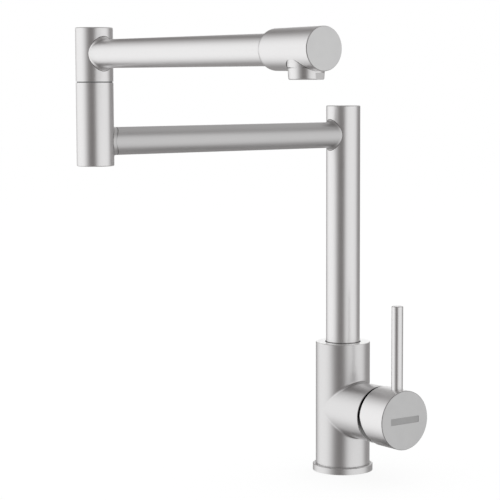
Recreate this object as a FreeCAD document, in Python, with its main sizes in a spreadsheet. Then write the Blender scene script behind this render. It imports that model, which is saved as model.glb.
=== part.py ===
import FreeCAD, Part
import math
import os
import Sketcher

# Deck mounted kitchen mixer tap with a double-jointed swing spout, in millimetres.
# The origin is on the column's axis at the deck. The lower arm runs along -Y, the upper arm along +X,
# and the lever's drum points along +X.

SIZES = {
    # Deck ring and its gasket
    "ring_radius": 25.0, "ring_height": 5.5, "ring_chamfer": 0.5, "ring_bore_gap": 0.2,
    "gasket_inset": 2.5, "gasket_width": 3.5, "gasket_depth": 1.8,
    # Threaded shank and the fixing kit under the deck
    "shank_radius": 16.5, "shank_bore_radius": 13.0, "shank_depth": 52.0, "shank_seat_depth": 17.0,
    "deck_thickness": 30.0, "fixing_radius": 27.0, "fixing_bore_gap": 0.3, "fixing_gasket_height": 3.0,
    "fixing_washer_height": 2.0, "nut_across_flats": 44.0, "nut_height": 9.0,
    # Body and side branch
    "body_radius": 22.5, "body_height": 102.6, "body_round": 0.5, "branch_radius": 22.3,
    "branch_mouth_radius": 23.5, "branch_blend": 2.2, "branch_reach": 48.1, "branch_chamfer": 0.3,
    "hub_axis_height": 53.4,
    # Water ways in the body
    "inlet_radius": 5.0, "inlet_depth": 10.0, "inlet_spacing": 15.0, "passage_radius": 3.4,
    "outlet_passage_radius": 4.0, "port_drop": 5.0, "port_rise": 8.0, "riser_radius": 6.0,
    # Column swivel
    "socket_radius": 11.5, "socket_depth": 24.5, "counterbore_depth": 5.0, "mouth_gap": 0.6,
    "spigot_bore_radius": 8.0,
    "spigot_end_gap": 1.0, "spigot_lap": 20.0, "thrust_washer_height": 0.8, "washer_edge_gap": 0.4,
    "glide_width": 3.0, "glide_depth": 1.0, "oring_radius": 1.0, "oring_side_gap": 0.3,
    "swivel_glide_low": 3.5, "swivel_glide_high": 20.5, "swivel_oring_low": 7.6, "swivel_oring_high": 16.4,
    "lock_groove_height": 12.0, "lock_groove_width": 4.0, "lock_groove_depth": 2.0,
    "lock_screw_radius": 2.5, "lock_screw_inset": 0.6, "lock_tip_radius": 1.5, "lock_tip_length": 1.9,
    "lock_tip_gap": 0.4,
    # Column, posts and arms
    "post_radius": 14.0, "post_wall": 1.5, "cap_height": 2.5, "cap_spigot_height": 4.0, "cap_round": 0.9,
    "arm_radius": 10.5, "arm_wall": 1.5, "arm_reach": 236.5, "weld_radius": 3.5, "weld_sink": 0.15,
    "lower_arm_height": 280.0, "column_above_arm": 24.0, "post_below_arm": 18.2,
    "joint_above_arm": 44.2, "upper_arm_above_joint": 20.8, "post_above_arm": 19.5,
    # Elbow swivel
    "pin_radius": 8.5, "pin_bore_radius": 6.0, "pin_flange_height": 9.0, "pin_end": 3.0,
    "bush_height": 28.8, "elbow_glide_low": 7.5, "elbow_glide_high": 27.5, "elbow_oring_low": 14.0,
    "elbow_oring_high": 21.0, "elbow_oring_radius": 0.8, "elbow_glide_depth": 0.8,
    "circlip_width": 1.1, "circlip_depth": 1.0, "circlip_proud": 2.0, "circlip_gap": 0.3,
    "circlip_mouth": 9.0,
    # Spout head and outlet
    "spout_reach": 277.3, "head_length": 54.6, "head_lip": 0.4, "head_round_length": 6.0,
    "head_neck_radius": 13.55,
    "head_end_radius": 14.0, "head_chamfer": 0.4, "arm_seat_depth": 11.0, "head_bore_radius": 6.0,
    "outlet_inset": 18.3, "outlet_boss_radius": 12.1, "outlet_boss_drop": 11.5,
    "outlet_recess_gap": 0.2, "outlet_thread_radius": 10.0, "outlet_thread_depth": 3.8,
    # Aerator
    "aerator_radius": 11.7, "aerator_foot_radius": 11.3, "aerator_height": 7.2, "aerator_round": 1.1,
    "aerator_seat_gap": 0.5, "aerator_thread_height": 2.6, "aerator_bore_radius": 8.95,
    "aerator_lip_radius": 8.3, "aerator_lip_height": 1.4, "aerator_flat_height": 4.3,
    "aerator_across_flats": 21.0, "aerator_washer_bore": 7.2, "insert_wall": 0.9,
    "insert_floor": 1.6, "jet_radius": 0.8, "jet_ring_pitch": 2.4,
    # Ceramic cartridge, along the branch axis from the chamber floor outwards
    "chamber_floor": 12.0, "chamber_radius": 17.6, "seal_proud": 0.6, "seal_width": 1.5,
    "seal_height": 2.0, "base_height": 5.4, "disc_radius": 15.5, "disc_height": 3.5, "disc_film": 0.02,
    "slider_radius": 10.8, "slider_height": 3.0, "slider_hollow_radius": 7.0, "slider_hollow_depth": 1.5,
    "carrier_radius": 12.0, "carrier_height": 5.5, "carrier_pocket_radius": 3.2,
    "cartridge_radius": 17.5, "cartridge_bore_radius": 15.6, "cartridge_height": 22.0,
    "cartridge_neck_height": 3.0, "cartridge_neck_radius": 12.4,
    "rotor_start": 31.3, "rotor_flange_height": 5.6, "rotor_neck_radius": 12.3, "rotor_neck_height": 5.0,
    "slot_down": 7.6, "slot_up": 6.6, "pivot_reach": 35.0, "pivot_pin_radius": 1.5,
    "pivot_pin_length": 24.0,
    "retainer_radius": 19.0, "retainer_bore_radius": 13.2, "retainer_height": 8.1,
    "dome_radius": 23.0, "dome_wall": 1.2, "dome_mouth_radius": 15.0,
    # Spindle
    "ball_radius": 2.9, "ball_back": 7.1, "stem_radius": 2.0, "stem_gap": 3.4, "tongue_width": 8.0,
    "tongue_front": 10.0, "square_width": 9.0, "square_front": 33.0,
    # Handle drum, lever and screw
    "hub_radius": 24.0, "hub_gap": 3.6, "hub_length": 27.8, "hub_chamfer": 0.45, "hub_wall": 1.75,
    "hub_hollow_depth": 13.3, "hub_boss_radius": 9.0, "hub_boss_start": 7.3, "relief_depth": 5.5,
    "relief_top": 2.0, "relief_run": 18.0, "bar_length": 29.0, "bar_width": 5.4, "bar_depth": 0.25,
    "lever_reach": 69.7, "lever_radius": 4.65, "lever_top": 91.4, "lever_chamfer": 0.5,
    "lever_seat": 23.45, "lever_seat_gap": 0.1, "lever_stud_radius": 3.0, "lever_stud_end": 10.0,
    "grub_reach": 62.5, "grub_radius": 2.5, "grub_length": 4.0, "grub_hex_width": 2.5,
    "grub_hex_depth": 2.0, "plug_radius": 3.0,
    # Fits
    "running_gap": 0.05, "fixed_gap": 0.05, "sleeve_gap": 0.08, "overrun": 5.0,
}


class Size:
    """A length: its number, and the formula that gives it from the sheet's cells."""

    def __init__(self, number, formula):
        self.number = number
        self.formula = formula

    def __add__(self, other):
        return combine(self, "+", other)

    def __radd__(self, other):
        return combine(other, "+", self)

    def __sub__(self, other):
        return combine(self, "-", other)

    def __rsub__(self, other):
        return combine(other, "-", self)

    def __mul__(self, other):
        return combine(self, "*", other)

    def __rmul__(self, other):
        return combine(other, "*", self)

    def __truediv__(self, other):
        return combine(self, "/", other)

    def __neg__(self):
        return Size(-self.number, "(-" + self.formula + ")")


def as_size(value):
    if isinstance(value, Size):
        return value
    return Size(float(value), repr(float(value)))


def combine(left, sign, right):
    """The sum, difference, product or quotient of two sizes."""
    left = as_size(left)
    right = as_size(right)
    if sign == "+":
        number = left.number + right.number
    elif sign == "-":
        number = left.number - right.number
    elif sign == "*":
        number = left.number * right.number
    else:
        number = left.number / right.number
    return Size(number, "(" + left.formula + " " + sign + " " + right.formula + ")")


def leg(hypotenuse, other_leg):
    """The second leg of a right triangle."""
    square = hypotenuse * hypotenuse - other_leg * other_leg
    return Size(math.sqrt(square.number), "sqrt(" + square.formula + ")")


class Cells:
    """The driving sizes, each read by its name in the sheet."""


os.makedirs("parts", exist_ok=True)
doc = FreeCAD.newDocument("swing_mixer_tap")
sheet = doc.addObject("Spreadsheet::Sheet", "Sizes")
cells = Cells()
for row, (alias, number) in enumerate(SIZES.items(), start=1):
    sheet.set("A" + str(row), alias)
    sheet.set("B" + str(row), str(number))
    sheet.setAlias("B" + str(row), alias)
    setattr(cells, alias, Size(number, "Sizes." + alias))
doc.recompute()

UPRIGHT = FreeCAD.Rotation()
ALONG_X = FreeCAD.Rotation(FreeCAD.Vector(0, 1, 0), 90)
ALONG_MINUS_Y = FreeCAD.Rotation(FreeCAD.Vector(1, 0, 0), 90)
HANGING = FreeCAD.Rotation(FreeCAD.Vector(1, 0, 0), 180)
ALONG_MINUS_X = FreeCAD.Rotation(FreeCAD.Vector(0, 1, 0), -90)


def place(item, spot, turn=UPRIGHT):
    """Puts an object at a spot given as three sizes, turned as asked."""
    spot = [as_size(value) for value in spot]
    base = FreeCAD.Vector(*[value.number for value in spot])
    item.Placement = FreeCAD.Placement(base, turn)
    for axis, value in zip("xyz", spot):
        item.setExpression("Placement.Base." + axis, value.formula)
    return item


def cylinder(name, radius, height, spot, turn=UPRIGHT):
    item = doc.addObject("Part::Cylinder", name)
    item.setExpression("Radius", as_size(radius).formula)
    item.setExpression("Height", as_size(height).formula)
    return place(item, spot, turn)


def block(name, length, width, height, spot, turn=UPRIGHT):
    """A box from its lowest corner."""
    item = doc.addObject("Part::Box", name)
    item.setExpression("Length", as_size(length).formula)
    item.setExpression("Width", as_size(width).formula)
    item.setExpression("Height", as_size(height).formula)
    return place(item, spot, turn)


def torus(name, ring_radius, tube_radius, spot, turn=UPRIGHT):
    item = doc.addObject("Part::Torus", name)
    item.setExpression("Radius1", ring_radius.formula)
    item.setExpression("Radius2", tube_radius.formula)
    return place(item, spot, turn)


def ball(name, radius, spot):
    item = doc.addObject("Part::Sphere", name)
    item.setExpression("Radius", radius.formula)
    return place(item, spot)


def fuse(name, items):
    item = doc.addObject("Part::MultiFuse", name)
    item.Shapes = items
    return item


def cut(name, base, tools):
    item = doc.addObject("Part::Cut", name)
    item.Base = base
    item.Tool = tools[0] if len(tools) == 1 else fuse(name + "_tools", tools)
    return item


def arc_about(start, end, radius, side):
    """The centre of the arc of a radius between two points; side tells which of the two."""
    half = math.dist(start, end) / 2
    middle = ((start[0] + end[0]) / 2, (start[1] + end[1]) / 2)
    along = ((end[0] - start[0]) / (2 * half), (end[1] - start[1]) / (2 * half))
    offset = side * math.sqrt(radius * radius - half * half)
    return middle[0] - along[1] * offset, middle[1] + along[0] * offset


def outline_edge(start, end, arc):
    """A sketch edge between two outline points, and which of its ends is the first point."""
    tail = FreeCAD.Vector(start[0], start[1], 0)
    tip = FreeCAD.Vector(end[0], end[1], 0)
    if arc is None:
        return Part.LineSegment(tail, tip), 1, 2
    radius, side = arc
    x, y = arc_about(start, end, radius.number, side)
    first = math.atan2(start[1] - y, start[0] - x)
    last = math.atan2(end[1] - y, end[0] - x)
    circle = Part.Circle(FreeCAD.Vector(x, y, 0), FreeCAD.Vector(0, 0, 1), radius.number)
    if side > 0:
        return Part.ArcOfCircle(circle, first, last), 1, 2
    return Part.ArcOfCircle(circle, last, first), 2, 1


def pin_down(sketch, geometry, end, axis, value):
    """Holds one coordinate of an outline point at its size."""
    if value.number == 0:
        sketch.addConstraint(Sketcher.Constraint("PointOnObject", geometry, end, -2 if axis == "X" else -1))
        return
    rule = Sketcher.Constraint("Distance" + axis, -1, 1, geometry, end, value.number)
    index = sketch.addConstraint(rule)
    sketch.setExpression("Constraints[" + str(index) + "]", value.formula)


def turned(name, outline, arcs=None):
    """A turned piece: a closed outline of radius and height points, spun about its own axis.

    arcs gives, by the number of the point where it starts, the radius and the side of each rounded edge."""
    arcs = arcs or {}
    body = doc.addObject("PartDesign::Body", name)
    sketch = body.newObject("Sketcher::SketchObject", name + "_outline")
    plane = [item for item in body.Origin.OriginFeatures if item.Role == "XZ_Plane"][0]
    sketch.AttachmentSupport = (plane, "")
    sketch.MapMode = "FlatFace"
    points = [(as_size(radius), as_size(height)) for radius, height in outline]
    numbers = [(radius.number, height.number) for radius, height in points]
    ends = []
    for index, start in enumerate(numbers):
        edge, tail, tip = outline_edge(start, numbers[(index + 1) % len(numbers)], arcs.get(index))
        ends.append((sketch.addGeometry(edge, False), tail, tip))
    for index, (geometry, tail, tip) in enumerate(ends):
        following, next_tail, _ = ends[(index + 1) % len(ends)]
        sketch.addConstraint(Sketcher.Constraint("Coincident", geometry, tip, following, next_tail))
    for (geometry, tail, _), (radius, height) in zip(ends, points):
        pin_down(sketch, geometry, tail, "X", radius)
        pin_down(sketch, geometry, tail, "Y", height)
    for start, (radius, _) in arcs.items():
        index = sketch.addConstraint(Sketcher.Constraint("Radius", ends[start][0], radius.number))
        sketch.setExpression("Constraints[" + str(index) + "]", radius.formula)
    revolution = body.newObject("PartDesign::Revolution", name + "_turning")
    revolution.Profile = sketch
    revolution.ReferenceAxis = (sketch, ["V_Axis"])
    revolution.Angle = 360
    sketch.Visibility = False
    return body


def ring(name, outer, inner, height, spot, turn=UPRIGHT):
    """A plain ring or tube."""
    item = turned(name, [(inner, 0), (outer, 0), (outer, height), (inner, height)])
    return place(item, spot, turn)


def blended(name, base, radius):
    """Rounds the corners where curved surfaces run into each other."""
    doc.recompute()
    seams = [index for index, edge in enumerate(base.Shape.Edges, start=1)
             if "BSpline" in edge.Curve.TypeId]
    item = doc.addObject("Part::Fillet", name)
    item.Base = base
    item.Edges = [(index, radius.number, radius.number) for index in seams]
    return item


def grooved_side(radius, grooves):
    """Points up the side of a shaft, with a groove at each middle height, width and depth."""
    points = []
    for middle, width, depth in grooves:
        low = middle - width / 2
        high = middle + width / 2
        points += [(radius, low), (radius - depth, low), (radius - depth, high), (radius, high)]
    return points


c = cells
nodes = {}


def node(name, item):
    """Keeps a finished piece under its own name."""
    item.Label = name
    nodes[name] = item
    return item


# Heights and reaches that several pieces share
body_top = c.ring_height + c.body_height
column_top = c.lower_arm_height + c.column_above_arm
joint_height = c.lower_arm_height + c.joint_above_arm
upper_arm_height = joint_height + c.upper_arm_above_joint
post_bottom = c.lower_arm_height - c.post_below_arm
post_top = upper_arm_height + c.post_above_arm
post_bore = c.post_radius - c.post_wall
arm_bore = c.arm_radius - c.arm_wall
elbow = -c.arm_reach
head_start = c.spout_reach - c.head_length
outlet_reach = c.spout_reach - c.outlet_inset
hub_start = c.branch_reach + c.hub_gap
hub_face = hub_start + c.hub_length
shank_seat = c.ring_height + c.shank_seat_depth


def deck_fixing():
    """The ring on the deck, its gasket, the threaded shank, and the kit that clamps under the deck."""
    bore = c.shank_radius + c.ring_bore_gap
    gasket_outer = c.ring_radius - c.gasket_inset
    gasket_inner = gasket_outer - c.gasket_width
    rim = c.ring_radius - c.ring_chamfer
    shoulder = c.ring_height - c.ring_chamfer
    node("base_ring", turned("base_ring", [
        (bore, 0), (gasket_inner, 0), (gasket_inner, c.gasket_depth), (gasket_outer, c.gasket_depth),
        (gasket_outer, 0), (c.ring_radius, 0), (c.ring_radius, shoulder), (rim, c.ring_height),
        (bore, c.ring_height)]))
    node("base_gasket", ring("base_gasket", gasket_outer - c.fixed_gap, gasket_inner + c.fixed_gap,
                             c.gasket_depth, (0, 0, 0)))
    node("threaded_shank", ring("threaded_shank", c.shank_radius, c.shank_bore_radius,
                                shank_seat + c.shank_depth, (0, 0, -c.shank_depth)))
    loose_bore = c.shank_radius + c.fixing_bore_gap
    gasket_low = -c.deck_thickness - c.fixing_gasket_height
    washer_low = gasket_low - c.fixing_washer_height
    node("fixing_gasket", ring("fixing_gasket", c.fixing_radius, loose_bore, c.fixing_gasket_height,
                               (0, 0, gasket_low)))
    node("fixing_washer", ring("fixing_washer", c.fixing_radius, loose_bore, c.fixing_washer_height,
                               (0, 0, washer_low)))
    prism = doc.addObject("Part::Prism", "nut_prism")
    prism.Polygon = 6
    corner_per_flat = 1 / math.sqrt(3)
    prism.setExpression("Circumradius", (c.nut_across_flats * corner_per_flat).formula)
    prism.setExpression("Height", c.nut_height.formula)
    place(prism, (0, 0, washer_low - c.nut_height))
    thread = cylinder("nut_thread", c.shank_radius + c.fixed_gap, c.nut_height + 2 * c.overrun,
                      (0, 0, washer_low - c.nut_height - c.overrun))
    node("fixing_nut", cut("fixing_nut", prism, [thread]))


def body():
    """The round body with its side branch, drilled for the shank, hoses, cartridge and column."""
    top_edge = c.body_radius - c.body_round
    trunk = turned("body_trunk", [(0, 0), (c.body_radius, 0), (c.body_radius, c.body_height - c.body_round),
                                  (top_edge, c.body_height), (0, c.body_height)], {2: (c.body_round, 1)})
    place(trunk, (0, 0, c.ring_height))
    branch_edge = c.branch_mouth_radius - c.branch_chamfer
    branch = turned("body_branch", [(0, 0), (c.branch_radius, 0),
                                    (c.branch_mouth_radius, c.branch_reach - c.branch_chamfer),
                                    (branch_edge, c.branch_reach), (0, c.branch_reach)])
    place(branch, (0, 0, c.hub_axis_height), ALONG_X)
    blank = blended("body_blank", fuse("body_cross", [trunk, branch]), c.branch_blend)

    half = c.inlet_spacing / 2
    port_low = c.hub_axis_height - c.port_drop
    port_high = c.hub_axis_height + c.port_rise
    socket_floor = body_top - c.counterbore_depth - c.socket_depth
    inlet_top = shank_seat + c.inlet_depth
    tools = [
        cylinder("shank_socket", c.shank_radius + c.fixed_gap, c.shank_seat_depth + c.overrun,
                 (0, 0, c.ring_height - c.overrun)),
        cylinder("column_socket", c.socket_radius, c.socket_depth + c.counterbore_depth, (0, 0, socket_floor)),
        cylinder("column_mouth", c.post_radius + c.mouth_gap, c.counterbore_depth + c.overrun,
                 (0, 0, body_top - c.counterbore_depth)),
        cylinder("chamber", c.chamber_radius, c.branch_reach, (c.chamber_floor, 0, c.hub_axis_height), ALONG_X),
        cylinder("retainer_thread", c.retainer_radius, c.branch_reach,
                 (c.chamber_floor + c.seal_proud + c.base_height + c.cartridge_height, 0, c.hub_axis_height),
                 ALONG_X),
        cylinder("riser", c.riser_radius, socket_floor - port_high + c.riser_radius, (0, 0, port_high)),
        cylinder("outlet_passage", c.outlet_passage_radius, c.chamber_floor + c.outlet_passage_radius,
                 (0, 0, port_high), ALONG_X),
        cylinder("lock_thread", c.lock_screw_radius, c.body_radius,
                 (-c.body_radius, 0, socket_floor + c.lock_groove_height), ALONG_X),
    ]
    for side, across in (("left", -half), ("right", half)):
        tools.append(cylinder("inlet_thread_" + side, c.inlet_radius, c.inlet_depth, (0, across, shank_seat)))
        tools.append(cylinder("inlet_rise_" + side, c.passage_radius, port_low - shank_seat,
                              (0, across, shank_seat)))
        tools.append(ball("inlet_turn_" + side, c.passage_radius, (0, across, port_low)))
        tools.append(cylinder("inlet_passage_" + side, c.passage_radius,
                              c.chamber_floor + c.passage_radius, (0, across, port_low), ALONG_X))
    node("body_shell", cut("body_shell", blank, tools))
    return socket_floor


def column_swivel(socket_floor):
    """The turned spigot under the column, its rings, washer and lock screw."""
    low = socket_floor + c.spigot_end_gap
    mouth_floor = body_top - c.counterbore_depth
    radius = c.socket_radius - c.running_gap
    shoulder = mouth_floor + c.thrust_washer_height - low
    lap_radius = post_bore - c.fixed_gap
    oring_width = 2 * c.oring_radius + 2 * c.oring_side_gap
    oring_depth = 2 * c.oring_radius
    lock_middle = c.lock_groove_height - c.spigot_end_gap
    grooves = [
        (c.swivel_glide_low, c.glide_width, c.glide_depth),
        (c.swivel_oring_low, oring_width, oring_depth),
        (lock_middle, c.lock_groove_width, c.lock_groove_depth),
        (c.swivel_oring_high, oring_width, oring_depth),
        (c.swivel_glide_high, c.glide_width, c.glide_depth),
    ]
    outline = [(c.spigot_bore_radius, 0), (radius, 0)] + grooved_side(radius, grooves)
    outline += [(radius, shoulder), (lap_radius, shoulder), (lap_radius, shoulder + c.spigot_lap),
                (c.spigot_bore_radius, shoulder + c.spigot_lap)]
    node("column_spigot", place(turned("column_spigot", outline), (0, 0, low)))

    rings = [ring("swivel_glide_" + level, radius, radius - c.glide_depth, c.glide_width,
                  (0, 0, low + middle - c.glide_width / 2))
             for level, middle in (("low", c.swivel_glide_low), ("high", c.swivel_glide_high))]
    node("swivel_glide_rings", fuse("swivel_glide_rings", rings))
    orings = [torus("swivel_oring_" + level, radius - c.oring_radius, c.oring_radius, (0, 0, low + middle))
              for level, middle in (("low", c.swivel_oring_low), ("high", c.swivel_oring_high))]
    node("swivel_o_rings", fuse("swivel_o_rings", orings))
    node("swivel_thrust_washer", ring("swivel_thrust_washer", c.post_radius - c.washer_edge_gap,
                                      c.socket_radius + c.washer_edge_gap, c.thrust_washer_height,
                                      (0, 0, mouth_floor)))
    groove_radius = radius - c.lock_groove_depth
    tip_end = groove_radius + c.lock_tip_gap
    shank_end = tip_end + c.lock_tip_length
    length = c.body_radius - c.lock_screw_inset - tip_end
    body_part = c.body_radius - c.lock_screw_inset - shank_end
    screw_radius = c.lock_screw_radius - c.fixed_gap
    screw = turned("lock_screw_blank", [
        (0, 0), (screw_radius, 0), (screw_radius, body_part), (c.lock_tip_radius, body_part),
        (c.lock_tip_radius, length), (0, length)])
    height = socket_floor + c.lock_groove_height
    place(screw, (c.lock_screw_inset - c.body_radius, 0, height), ALONG_X)
    hexagon = hex_socket("lock_screw_hex", (c.lock_screw_inset - c.body_radius, 0, height), ALONG_X)
    node("swivel_lock_screw", cut("swivel_lock_screw", screw, [hexagon]))


def hex_socket(name, spot, turn):
    """The hexagon key hole of a grub screw, which starts at the screw's outer end."""
    prism = doc.addObject("Part::Prism", name)
    prism.Polygon = 6
    corner_per_flat = 1 / math.sqrt(3)
    prism.setExpression("Circumradius", (c.grub_hex_width * corner_per_flat).formula)
    prism.setExpression("Height", c.grub_hex_depth.formula)
    return place(prism, spot, turn)


def end_cap(name, spot, turn=UPRIGHT):
    """The plug that closes a post: a short spigot under a disc with a rounded rim."""
    spigot = post_bore - c.fixed_gap
    rim = c.cap_spigot_height + c.cap_height
    outline = [(0, 0), (spigot, 0), (spigot, c.cap_spigot_height), (c.post_radius, c.cap_spigot_height),
               (c.post_radius, rim - c.cap_round), (c.post_radius - c.cap_round, rim), (0, rim)]
    node(name, place(turned(name, outline, {4: (c.cap_round, 1)}), spot, turn))


def drilled_post(name, low, high, side_height, drill_turn, across):
    """A post tube with the hole through which an arm feeds it."""
    tube = ring(name + "_blank", c.post_radius, post_bore, high - low, (0, across, low))
    drill = cylinder(name + "_drill", arm_bore, c.post_radius + c.overrun, (0, across, side_height), drill_turn)
    node(name, cut(name, tube, [drill]))


def arm(name, length, posts, spot, turn):
    """An arm tube whose ends are cut to the posts they meet, with a small weld blend round each."""
    core_radius = c.post_radius - c.weld_sink
    reach = 2 * c.post_radius
    pieces = [cylinder(name + "_rod", c.arm_radius, length, spot, turn)]
    tools = []
    for index, (x, y) in enumerate(posts):
        low = as_size(spot[2]) - reach
        pieces.append(cylinder(name + "_core_" + str(index), core_radius, 2 * reach, (x, y, low)))
        tools.append(cylinder(name + "_saddle_" + str(index), c.post_radius, 2 * reach + 2 * c.overrun,
                              (x, y, low - c.overrun)))
    blank = blended(name + "_welded", fuse(name + "_cross", pieces), c.weld_radius)
    tools.append(cylinder(name + "_bore", arm_bore, length, spot, turn))
    node(name, cut(name, blank, tools))


def column_and_lower_arm():
    tube_low = body_top - c.counterbore_depth + c.thrust_washer_height
    drilled_post("column_tube", tube_low, column_top - c.cap_height, c.lower_arm_height, ALONG_MINUS_Y, 0)
    end_cap("column_top_cap", (0, 0, column_top - c.cap_height - c.cap_spigot_height))
    arm("lower_arm_tube", c.arm_reach, [(0, 0), (0, elbow)], (0, 0, c.lower_arm_height), ALONG_MINUS_Y)


def elbow_lower_half():
    """The elbow's lower post on the lower arm, with the bush that its spindle turns in."""
    half_washer = c.thrust_washer_height / 2
    post_high = joint_height - half_washer
    facing_column = FreeCAD.Rotation(FreeCAD.Vector(1, 0, 0), -90)
    drilled_post("elbow_lower_post", post_bottom + c.cap_height, post_high, c.lower_arm_height,
                 facing_column, elbow)
    end_cap("elbow_bottom_cap", (0, elbow, post_bottom + c.cap_height + c.cap_spigot_height), HANGING)
    node("elbow_bearing_bush", ring("elbow_bearing_bush", post_bore - c.fixed_gap, c.pin_radius,
                                    c.bush_height, (0, elbow, post_high - c.bush_height)))
    node("elbow_thrust_washer", ring("elbow_thrust_washer", c.post_radius - 2 * c.washer_edge_gap,
                                     c.pin_radius + c.washer_edge_gap, c.thrust_washer_height,
                                     (0, elbow, post_high)))
    return post_high


def elbow_upper_half(post_high):
    """The spindle with its rings and circlip, and the upper post that turns with it."""
    radius = c.pin_radius - c.running_gap
    bush_low = post_high - c.bush_height
    low = bush_low - c.circlip_gap - c.circlip_width - c.pin_end
    shoulder = post_high + c.thrust_washer_height - low
    flange_radius = post_bore - c.fixed_gap
    circlip_middle = c.pin_end + c.circlip_width / 2
    oring_width = 2 * c.elbow_oring_radius + 2 * c.oring_side_gap
    grooves = [
        (circlip_middle, c.circlip_width, c.circlip_depth),
        (c.elbow_glide_low, c.glide_width, c.elbow_glide_depth),
        (c.elbow_oring_low, oring_width, 2 * c.elbow_oring_radius),
        (c.elbow_oring_high, oring_width, 2 * c.elbow_oring_radius),
        (c.elbow_glide_high, c.glide_width, c.elbow_glide_depth),
    ]
    outline = [(c.pin_bore_radius, 0), (radius, 0)] + grooved_side(radius, grooves)
    outline += [(radius, shoulder), (flange_radius, shoulder),
                (flange_radius, shoulder + c.pin_flange_height),
                (c.pin_bore_radius, shoulder + c.pin_flange_height)]
    node("elbow_spindle", place(turned("elbow_spindle", outline), (0, elbow, low)))
    rings = [ring("elbow_glide_" + level, radius, radius - c.elbow_glide_depth, c.glide_width,
                  (0, elbow, low + middle - c.glide_width / 2))
             for level, middle in (("low", c.elbow_glide_low), ("high", c.elbow_glide_high))]
    node("elbow_glide_rings", fuse("elbow_glide_rings", rings))
    orings = [torus("elbow_oring_" + level, radius - c.elbow_oring_radius, c.elbow_oring_radius,
                    (0, elbow, low + middle))
              for level, middle in (("low", c.elbow_oring_low), ("high", c.elbow_oring_high))]
    node("elbow_o_rings", fuse("elbow_o_rings", orings))
    clip = ring("circlip_ring", radius + c.circlip_proud, radius - c.circlip_depth + c.fixed_gap,
                c.circlip_width, (0, elbow, low + c.pin_end))
    mouth = block("circlip_mouth_box", 2 * c.pin_radius, c.circlip_mouth, c.circlip_width + 2 * c.overrun,
                  (0, elbow - c.circlip_mouth / 2, low + c.pin_end - c.overrun))
    node("elbow_circlip", cut("elbow_circlip", clip, [mouth]))
    drilled_post("elbow_upper_post", post_high + c.thrust_washer_height, post_top - c.cap_height,
                 upper_arm_height, ALONG_X, elbow)
    end_cap("elbow_top_cap", (0, elbow, post_top - c.cap_height - c.cap_spigot_height))
    arm("upper_arm_tube", head_start + c.arm_seat_depth, [(0, elbow)], (0, elbow, upper_arm_height), ALONG_X)


def spout_head():
    """The outlet head at the end of the upper arm, with the recess that takes the aerator."""
    seat = c.arm_radius + c.fixed_gap
    lip = seat + c.head_lip
    rise = c.head_neck_radius - lip
    shoulder_radius = (c.head_round_length * c.head_round_length + rise * rise) / (2 * rise)
    bore_end = outlet_reach - head_start + c.head_bore_radius
    outline = [
        (0, bore_end), (c.head_bore_radius, bore_end), (c.head_bore_radius, c.arm_seat_depth),
        (seat, c.arm_seat_depth), (seat, 0), (lip, 0), (c.head_neck_radius, c.head_round_length),
        (c.head_end_radius, c.head_length - c.head_chamfer),
        (c.head_end_radius - c.head_chamfer, c.head_length), (0, c.head_length)]
    blank = turned("head_blank", outline, {5: (shoulder_radius, 1)})
    place(blank, (head_start, elbow, upper_arm_height), ALONG_X)
    boss_low = upper_arm_height - c.outlet_boss_drop
    spot = (outlet_reach, elbow, boss_low)
    boss = cylinder("outlet_boss", c.outlet_boss_radius, c.outlet_boss_drop, spot)
    merged = fuse("head_merged", [blank, boss])
    thread_top = boss_low + c.outlet_thread_depth
    tools = [
        cylinder("head_bore", c.head_bore_radius, bore_end, (head_start, elbow, upper_arm_height), ALONG_X),
        cylinder("outlet_recess", c.aerator_radius + c.outlet_recess_gap, c.post_radius,
                 (outlet_reach, elbow, boss_low - c.post_radius)),
        cylinder("outlet_thread", c.outlet_thread_radius, c.outlet_thread_depth, spot),
        cylinder("outlet_throat", c.aerator_washer_bore, upper_arm_height - thread_top,
                 (outlet_reach, elbow, thread_top)),
    ]
    node("spout_head", cut("spout_head", merged, tools))
    return boss_low


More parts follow.
